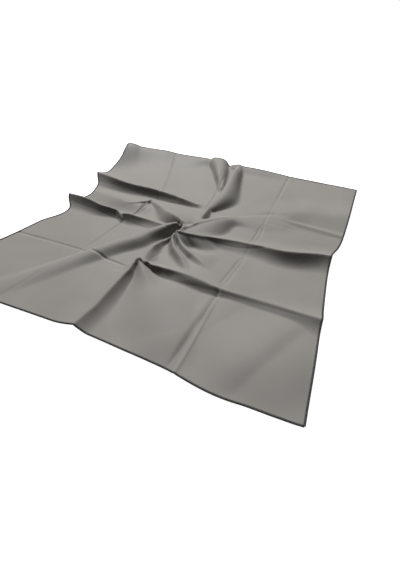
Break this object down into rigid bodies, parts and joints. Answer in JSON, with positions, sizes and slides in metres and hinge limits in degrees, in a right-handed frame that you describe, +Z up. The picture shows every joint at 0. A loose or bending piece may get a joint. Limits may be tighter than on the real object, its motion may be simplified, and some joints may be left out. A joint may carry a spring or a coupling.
{
  "type": "silk scarf",
  "caption": "Square silk twill scarf with a fine rolled hem, laid flat and pinched at its middle so that pleats and soft folds run out to its edges.",
  "frame": {"origin": "on the surface it lies on, under the middle of its outline", "axes": "+X to the right along the near edge, +Y away to the far edge, +Z up"},
  "size_m": [0.64, 0.642, 0.0327],
  "materials": {
    "silk": "satin silk twill, warm mid grey, with pressed-in fold lines",
    "hem_thread": "black overlock thread over the rolled edge"
  },
  "bodies": {
    "root": {"silk_panel": "silk", "hem_near": "hem_thread", "hem_right": "hem_thread", "hem_far": "hem_thread", "hem_left": "hem_thread"}
  },
  "joints": []
}
